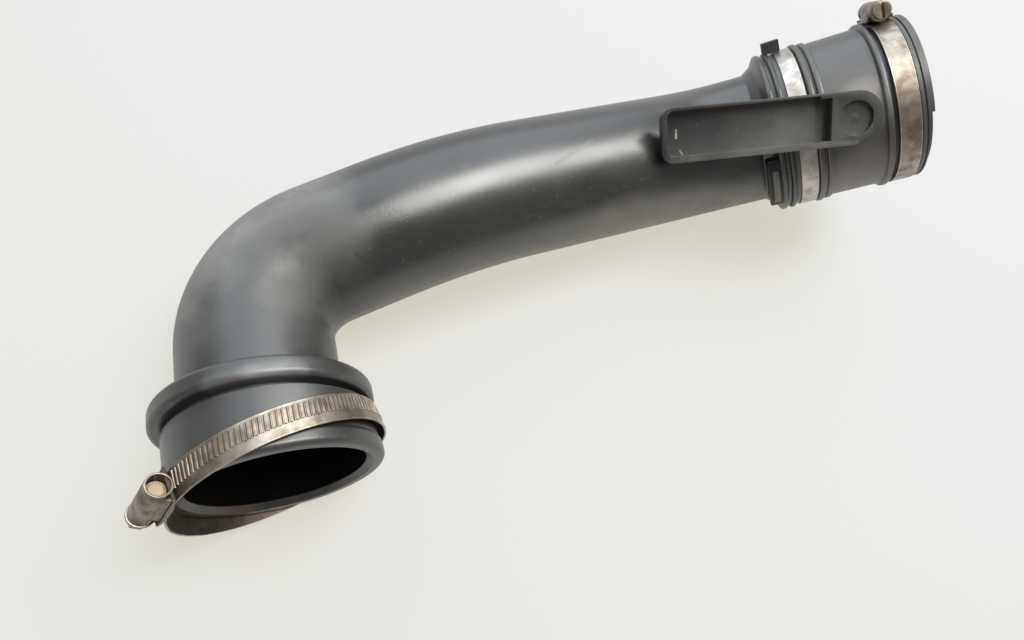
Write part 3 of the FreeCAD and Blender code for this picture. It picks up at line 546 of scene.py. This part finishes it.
def wormHousing(name, bandWide):
    w = wormDrive
    half, lift = w["barrelHalf"], w["lift"]
    barrel = roundBar(w["barrelRadius"], -half, half, lift)
    editFaces(barrel, lambda at, way: abs(way.x) > facing)  # open both ends
    bpy.ops.mesh.inset(thickness=(w["barrelRadius"] - w["boreRadius"]) * mm, use_individual=True)
    growFaces(-w["boreDeep"])
    leaveEdit()
    softenEdges(barrel, w["barrelEdge"])
    long, across = w["saddleHalf"], w["saddleWide"]
    saddle = block((-long, -across, w["saddleLow"]), (long, across, lift))
    editFaces(saddle, lambda at, way: way.z < -facing)  # flare the skirt to the foot
    bpy.ops.transform.resize(value=(w["skirtLong"], (bandWide / 2 + w["skirtPast"]) / across, 1))
    leaveEdit()
    gap = roundBar(w["boreRadius"] + w["saddleGap"], -2 * half, 2 * half, lift)
    cutBy(saddle, gap)  # clear of the screw
    editFaces(saddle, lambda at, way: abs(way.x) > facing)  # hollow ends under the barrel
    bpy.ops.mesh.inset(thickness=w["hollowRim"] * mm, use_individual=True)
    growFaces(-w["hollowDeep"])
    leaveEdit()
    softenEdges(saddle, w["saddleEdge"])
    wide, low = bandWide / 2 + w["footPast"], w["footLow"]
    foot = block((-w["footHalf"], -wide, low), (w["footHalf"], wide, low + w["footThick"]))
    editFaces(foot, lambda at, way: abs(way.x) > facing)  # upturned toes
    growFaces(w["toeLong"])
    bpy.ops.transform.translate(value=(0, 0, w["toeRise"] * mm))
    leaveEdit()
    softenEdges(foot, w["footEdge"])
    parts = [barrel, saddle, foot]
    for side in (-1, 1):  # lugs folded round the band's edges
        near, far = sorted((side * (wide - w["lugThick"]), side * wide))
        lug = block((-w["lugHalf"], near, w["lugLow"]), (w["lugHalf"], far, w["lugHigh"]))
        softenEdges(lug, w["lugEdge"])
        parts.append(lug)
    return joinPieces(name, parts)


def wormScrew(name, headSides):
    w = wormDrive
    half, lift = w["barrelHalf"], w["lift"]
    seat = half + w["endGap"]
    shank = roundBar(w["shankRadius"], -half + w["shankTail"], seat + w["shankIn"], lift)
    editFaces(shank, lambda at, way: way.x < -facing)  # turned point
    bpy.ops.mesh.inset(thickness=w["pointRim"] * mm)
    growFaces(w["pointLong"])
    bpy.ops.transform.resize(value=(1, w["pointShare"], w["pointShare"]))
    leaveEdit()
    collar = roundBar(w["collarRadius"], seat, seat + w["collarThick"], lift)
    softenEdges(collar, w["collarEdge"])
    top = seat + w["collarThick"] + w["headTall"]
    head = roundBar(w["headRadius"], seat + w["headSink"], top, lift, headSides)
    editFaces(head, lambda at, way: way.x > facing)  # chamfered top
    bpy.ops.mesh.inset(thickness=w["topRim"] * mm)
    growFaces(w["topTall"])
    bpy.ops.transform.resize(value=(1, w["topShare"], w["topShare"]))
    bpy.ops.transform.translate(value=(-w["topTall"] * mm, 0, 0))
    leaveEdit()
    reach, across = w["collarRadius"], w["slotWide"] / 2
    low, high = top - w["slotDeep"], top + w["slotPast"]
    cutBy(head, block((low, -across, lift - reach), (high, across, lift + reach)))
    softenEdges(head, w["headEdge"])
    return joinPieces(name, [shank, collar, head])


def paintBoreShade(housing):  # painted shade on the faces inside the barrel, in the slots' grime-and-shade finish
    w = wormDrive
    for face in housing.data.polygons:
        at = face.center / mm
        inBore = math.hypot(at.y, at.z - w["lift"]) < w["boreRadius"] + w["dirtPast"]
        inside = inBore and at.z > w["dirtLow"] and abs(at.x) < w["dirtHalf"]
        face.material_index = 1 if inside else 0


def paleTip(screw):  # the tip shows pale
    for face in screw.data.polygons:
        atEnd = face.center.x < wormDrive["tipFrom"] * mm
        face.material_index = 1 if atEnd and face.normal.x < wormDrive["tipFacing"] else 0


for end, spot, bandWide, sides in wormDrives:
    housing = wormHousing(end + "Housing", bandWide)
    housing.data.materials.append(housingSteel)
    housing.data.materials.append(slotDirt)
    paintBoreShade(housing)
    settle(housing, spot, housingSteel, "hose")
    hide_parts(end + "_clamp_housing")
    screw = wormScrew(end + "Screw", sides)
    screw.data.materials.append(screwSteel)
    screw.data.materials.append(screwTip)
    paleTip(screw)
    settle(screw, spot, screwSteel, end + "_screw")
    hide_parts(end + "_clamp_screw")
print("worm drives modelled")

# stamped thread and bright edges of the clamp bands
bandThread = {
    # name, frame, outside radius, first angle, sweep, count, middle across, length, edges across
    "rings": [
        ("mouth", localFrame((-0.156431, -0.073974, 0.04607), (0.96304, 0.24741, 0.10645),
                             (-0.22592, 0.95721, -0.18087)),
         43.9, 230, 150, 56, 1.5, 6.8, (-5.35, 5.35)),
        ("end", couplingFrame, 42.35, 68, 95, 34, 10.6, 5.6, (5.95, 15.25)),
    ],
    "ridge": (1.25, 0.34), "slot": (0.75, 0.06), "lean": 12, "sink": 0.3, "flank": (0.6, 0.9),
    "edge": 0.27, "edgeSink": 0.2, "edgeSides": (160, 10), "smooth": 25, "edgeSmooth": 60,
}


def threadRidges(name, radius, first, sweep, count, middle, length, wide, tall):
    half = length / 2
    ridge = block((radius - bandThread["sink"], -wide / 2, -half), (radius + tall, wide / 2, half))
    editFaces(ridge, lambda at, way: way.x > facing)  # sloped flanks
    bpy.ops.transform.resize(value=(1, *bandThread["flank"]))
    leaveEdit()
    editFaces(ridge, lambda at, way: True)
    turn = math.radians(bandThread["lean"])
    bpy.ops.transform.rotate(value=turn, orient_axis="X", center_override=(radius * mm, 0, 0))
    bpy.ops.transform.translate(value=(0, 0, middle * mm))
    spinFrom(first, sweep, count, True)
    leaveEdit()
    ridge.name = name
    return ridge


def bandEdge(name, radius, across):
    rings = []
    around, through = bandThread["edgeSides"]
    for z in across:
        bpy.ops.object.select_all(action="DESELECT")
        bpy.ops.mesh.primitive_torus_add(
            major_radius=(radius - bandThread["edgeSink"]) * mm,
            minor_radius=bandThread["edge"] * mm,
            major_segments=around, minor_segments=through, location=(0, 0, z * mm))
        bpy.ops.object.transform_apply(location=True)
        rings.append(bpy.context.object)
    return joinPieces(name, rings)


for name, spot, radius, first, sweep, count, middle, length, across in bandThread["rings"]:
    half = sweep / count / 2  # the slots lie between the ridges
    # the dark slot strips between the ridges are grime with painted shade
    for part, start, size, steel in (
            ("Thread", first, bandThread["ridge"], ridgeSteel),
            ("Slots", first + half, bandThread["slot"], slotDirt)):
        ridges = threadRidges(name + part, radius, start, sweep, count, middle, length, *size)
        settle(ridges, spot, steel, "hose", bandThread["smooth"])
    edges = bandEdge(name + "Edges", radius, across)
    settle(edges, spot, edgeSteel, "hose", bandThread["edgeSmooth"])
print("band threads stamped")

# retaining arm: a deep tray with an eye, x from the eye to the tail, z outward
trayArm = {
    "frame": localFrame(
        (0.129725, 0.023629, 0.10309), (-0.93323, 0.18201, -0.30975),
        (-0.35902, -0.50455, 0.78519)),
    "eyeEnd": -12.5, "tailEnd": 92.25, "half": 13.25, "eyeHalf": 12.5, "deep": 7.0, "floor": 2.2,
    "tray": (17.0, 89.6, -11.4, 9.9), "slot": (11.6, 17.5, -10.2, 9.6, 0.9), "cutPast": 2,
    "eyeDish": (8.0, 4.9), "dishTall": 6, "dishSides": 56,
    "tailRound": (5.3, 8), "eyeRound": (12.1, 14), "trayRound": (3.4, 6),  # radius and steps
    "tailSide": 50, "upright": 4, "edge": (0.55, 3), "smooth": 30,
    "legs": [(-9.3, -6.7, 26.6, 24.2), (6.7, 9.3, 20.8, 16.4)],  # across, then drop at eye and tail
    "legSpan": (51, 64), "legTop": 1.0, "legEdge": 0.4, "legEnd": 63,
}


def roundCorners(obj, test, width, segments):  # round the upright edges that pass the test
    editEdges(obj, lambda at, way: abs(way.z) > trayArm["upright"] * mm and test(at.x))
    bpy.ops.mesh.bevel(offset=width * mm, segments=segments)
    leaveEdit()


def trayArmPiece():
    a = trayArm
    tail, top = a["tailSide"] * mm, a["deep"] + a["cutPast"]
    strap = block((a["eyeEnd"], -a["half"], 0), (a["tailEnd"], a["half"], a["deep"]))
    editFaces(strap, lambda at, way: way.x < -facing)  # a little narrower at the eye
    bpy.ops.transform.resize(value=(1, a["eyeHalf"] / a["half"], 1))
    leaveEdit()
    roundCorners(strap, lambda x: x > tail, *a["tailRound"])
    roundCorners(strap, lambda x: x < 0, *a["eyeRound"])
    x0, x1, y0, y1 = a["tray"]
    tray = block((x0, y0, a["floor"]), (x1, y1, top))
    roundCorners(tray, lambda x: x > tail, *a["trayRound"])
    cutBy(strap, tray)
    x0, x1, y0, y1, low = a["slot"]
    cutBy(strap, block((x0, y0, low), (x1, y1, top)))
    radius, low = a["eyeDish"]
    bpy.ops.object.select_all(action="DESELECT")
    bpy.ops.mesh.primitive_cylinder_add(
        vertices=a["dishSides"], radius=radius * mm, depth=a["dishTall"] * mm,
        location=(0, 0, (low + a["dishTall"] / 2) * mm))
    bpy.ops.object.transform_apply(location=True)
    cutBy(strap, bpy.context.object)
    softenEdges(strap, *a["edge"])
    parts = [strap]
    x0, x1 = a["legSpan"]
    foot = a["legEnd"] * mm
    for y0, y1, nearEye, nearTail in a["legs"]:
        leg = block((x0, y0, -nearEye), (x1, y1, a["legTop"]))
        editEdges(leg, lambda at, way: at.z < 0 and at.x > foot and abs(way.y) > mm)  # sloped foot
        bpy.ops.transform.translate(value=(0, 0, (nearEye - nearTail) * mm))
        leaveEdit()
        softenEdges(leg, a["legEdge"])
        parts.append(leg)
    return joinPieces("trayArm", parts)


armPiece = trayArmPiece()
settle(armPiece, trayArm["frame"], armPlastic, "hose", trayArm["smooth"])
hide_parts("retaining_arm")
print("arm modelled")

# latch window on the bell, spun round the coupling's axis: its black fill is painted shade in the
# opening, round the grey latch bar
latchWindow = {
    "from": -92, "to": -48, "low": 70.9, "high": 78.4, "inner": 34.5, "outer": 43.1,
    "barFrom": -86, "barTo": -55, "barLow": 73.2, "barHigh": 76.4, "barOuter": 43.6,
    "caseEdge": (1.2, 4), "barEdge": (0.6, 3), "steps": 26, "thin": 0.01, "weld": 1e-6,
    "smooth": 30,
}


def spunBar(name, first, last, low, high, inner, outer):
    w = latchWindow
    bar = block((inner, -w["thin"], low), (outer, w["thin"], high))
    editFaces(bar, lambda at, way: way.y < facing)  # keep one face
    bpy.ops.mesh.delete(type="FACE")
    leaveEdit()
    editFaces(bar, lambda at, way: True)
    spinFrom(first, last - first, w["steps"])
    leaveEdit()
    editFaces(bar, lambda at, way: True)
    bpy.ops.mesh.remove_doubles(threshold=w["weld"])
    bpy.ops.mesh.normals_make_consistent(inside=False)
    leaveEdit()
    bar.name = name
    return bar


def latchPieces():
    w = latchWindow
    case = spunBar("latchCase", w["from"], w["to"], w["low"], w["high"], w["inner"], w["outer"])
    softenEdges(case, *w["caseEdge"])
    bar = spunBar(
        "latchBar", w["barFrom"], w["barTo"], w["barLow"], w["barHigh"], w["inner"], w["barOuter"])
    softenEdges(bar, *w["barEdge"])
    return case, bar


latchCase, latchBar = latchPieces()
settle(latchCase, couplingFrame, latchBlack, "hose", latchWindow["smooth"])
settle(latchBar, couplingFrame, latchGrey, "hose", latchWindow["smooth"])
print("latch window modelled")

# painted shade: a matte black sleeve inside the mouth's bore, from its chamfer inward
boreLining = {
    "frame": localFrame(
        (-0.156781, -0.080679, 0.04713), (0.99997, 0.00781, -0.00131),
        (-0.00792, 0.98614, -0.16573)),
    "spans": [(2.7, 18.97, 34.58, 34.58), (18.97, 26.5, 34.56, 30.82)],  # from, to, end radii
    "thick": 0.25, "cutPast": 1, "sides": 128, "smooth": 30,
}


def plainRound(low, high, radius, topRadius):  # a round along z, in millimetres
    bpy.ops.object.select_all(action="DESELECT")
    bpy.ops.mesh.primitive_cone_add(
        vertices=boreLining["sides"], radius1=radius * mm, radius2=topRadius * mm,
        depth=(high - low) * mm, location=(0, 0, (low + high) / 2 * mm))
    bpy.ops.object.transform_apply(location=True)
    return bpy.context.object


def shadeSleevePiece():
    rings = []
    past = boreLining["cutPast"]
    for low, high, radius, top in boreLining["spans"]:
        lean = past * (top - radius) / (high - low)  # the cut runs past both ends on the same slope
        ring = plainRound(low, high, radius, top)
        inner, innerTop = radius - boreLining["thick"], top - boreLining["thick"]
        cutBy(ring, plainRound(low - past, high + past, inner - lean, innerTop + lean))
        rings.append(ring)
    return joinPieces("boreLining", rings)


settle(shadeSleevePiece(), boreLining["frame"], boreBlack, "hose", boreLining["smooth"])
print("bore lined")
